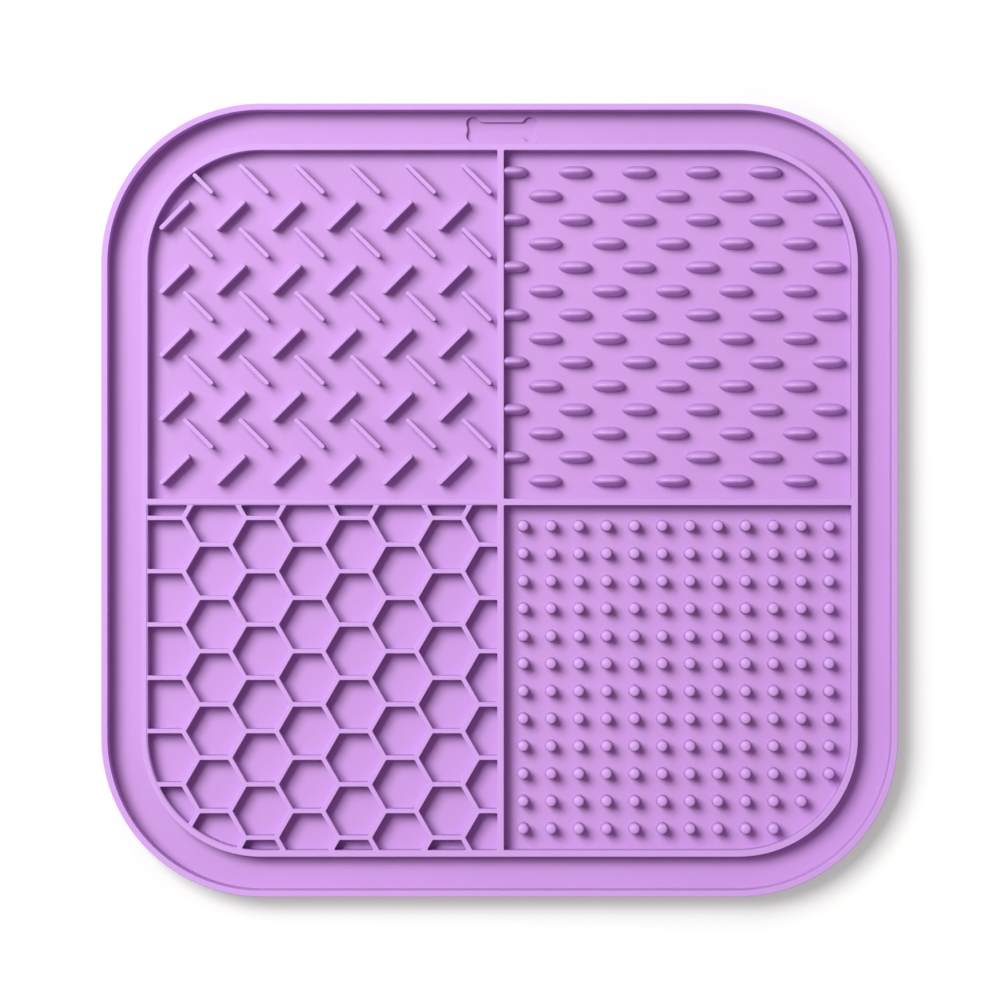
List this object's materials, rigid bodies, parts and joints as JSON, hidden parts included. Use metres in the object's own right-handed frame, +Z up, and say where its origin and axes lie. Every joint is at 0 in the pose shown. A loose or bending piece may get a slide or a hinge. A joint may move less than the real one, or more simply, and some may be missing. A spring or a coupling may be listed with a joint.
{
  "type": "lick mat",
  "caption": "Flat square lick mat of soft silicone with a raised rim, a crumb channel and compartments of ribs, bumps, honeycomb and studs.",
  "frame": {"origin": "middle of the flat underside, on the surface that the mat lies on", "axes": "+Z up out of the food side, +X to the right and +Y to the far edge when the rib compartment is at the far left; the bone recess is at the +Y edge"},
  "size_m": [0.2004, 0.1994, 0.008],
  "materials": {
    "silicone": "matt moulded silicone, lilac"
  },
  "bodies": {
    "root": {"mat": "silicone"}
  },
  "joints": []
}
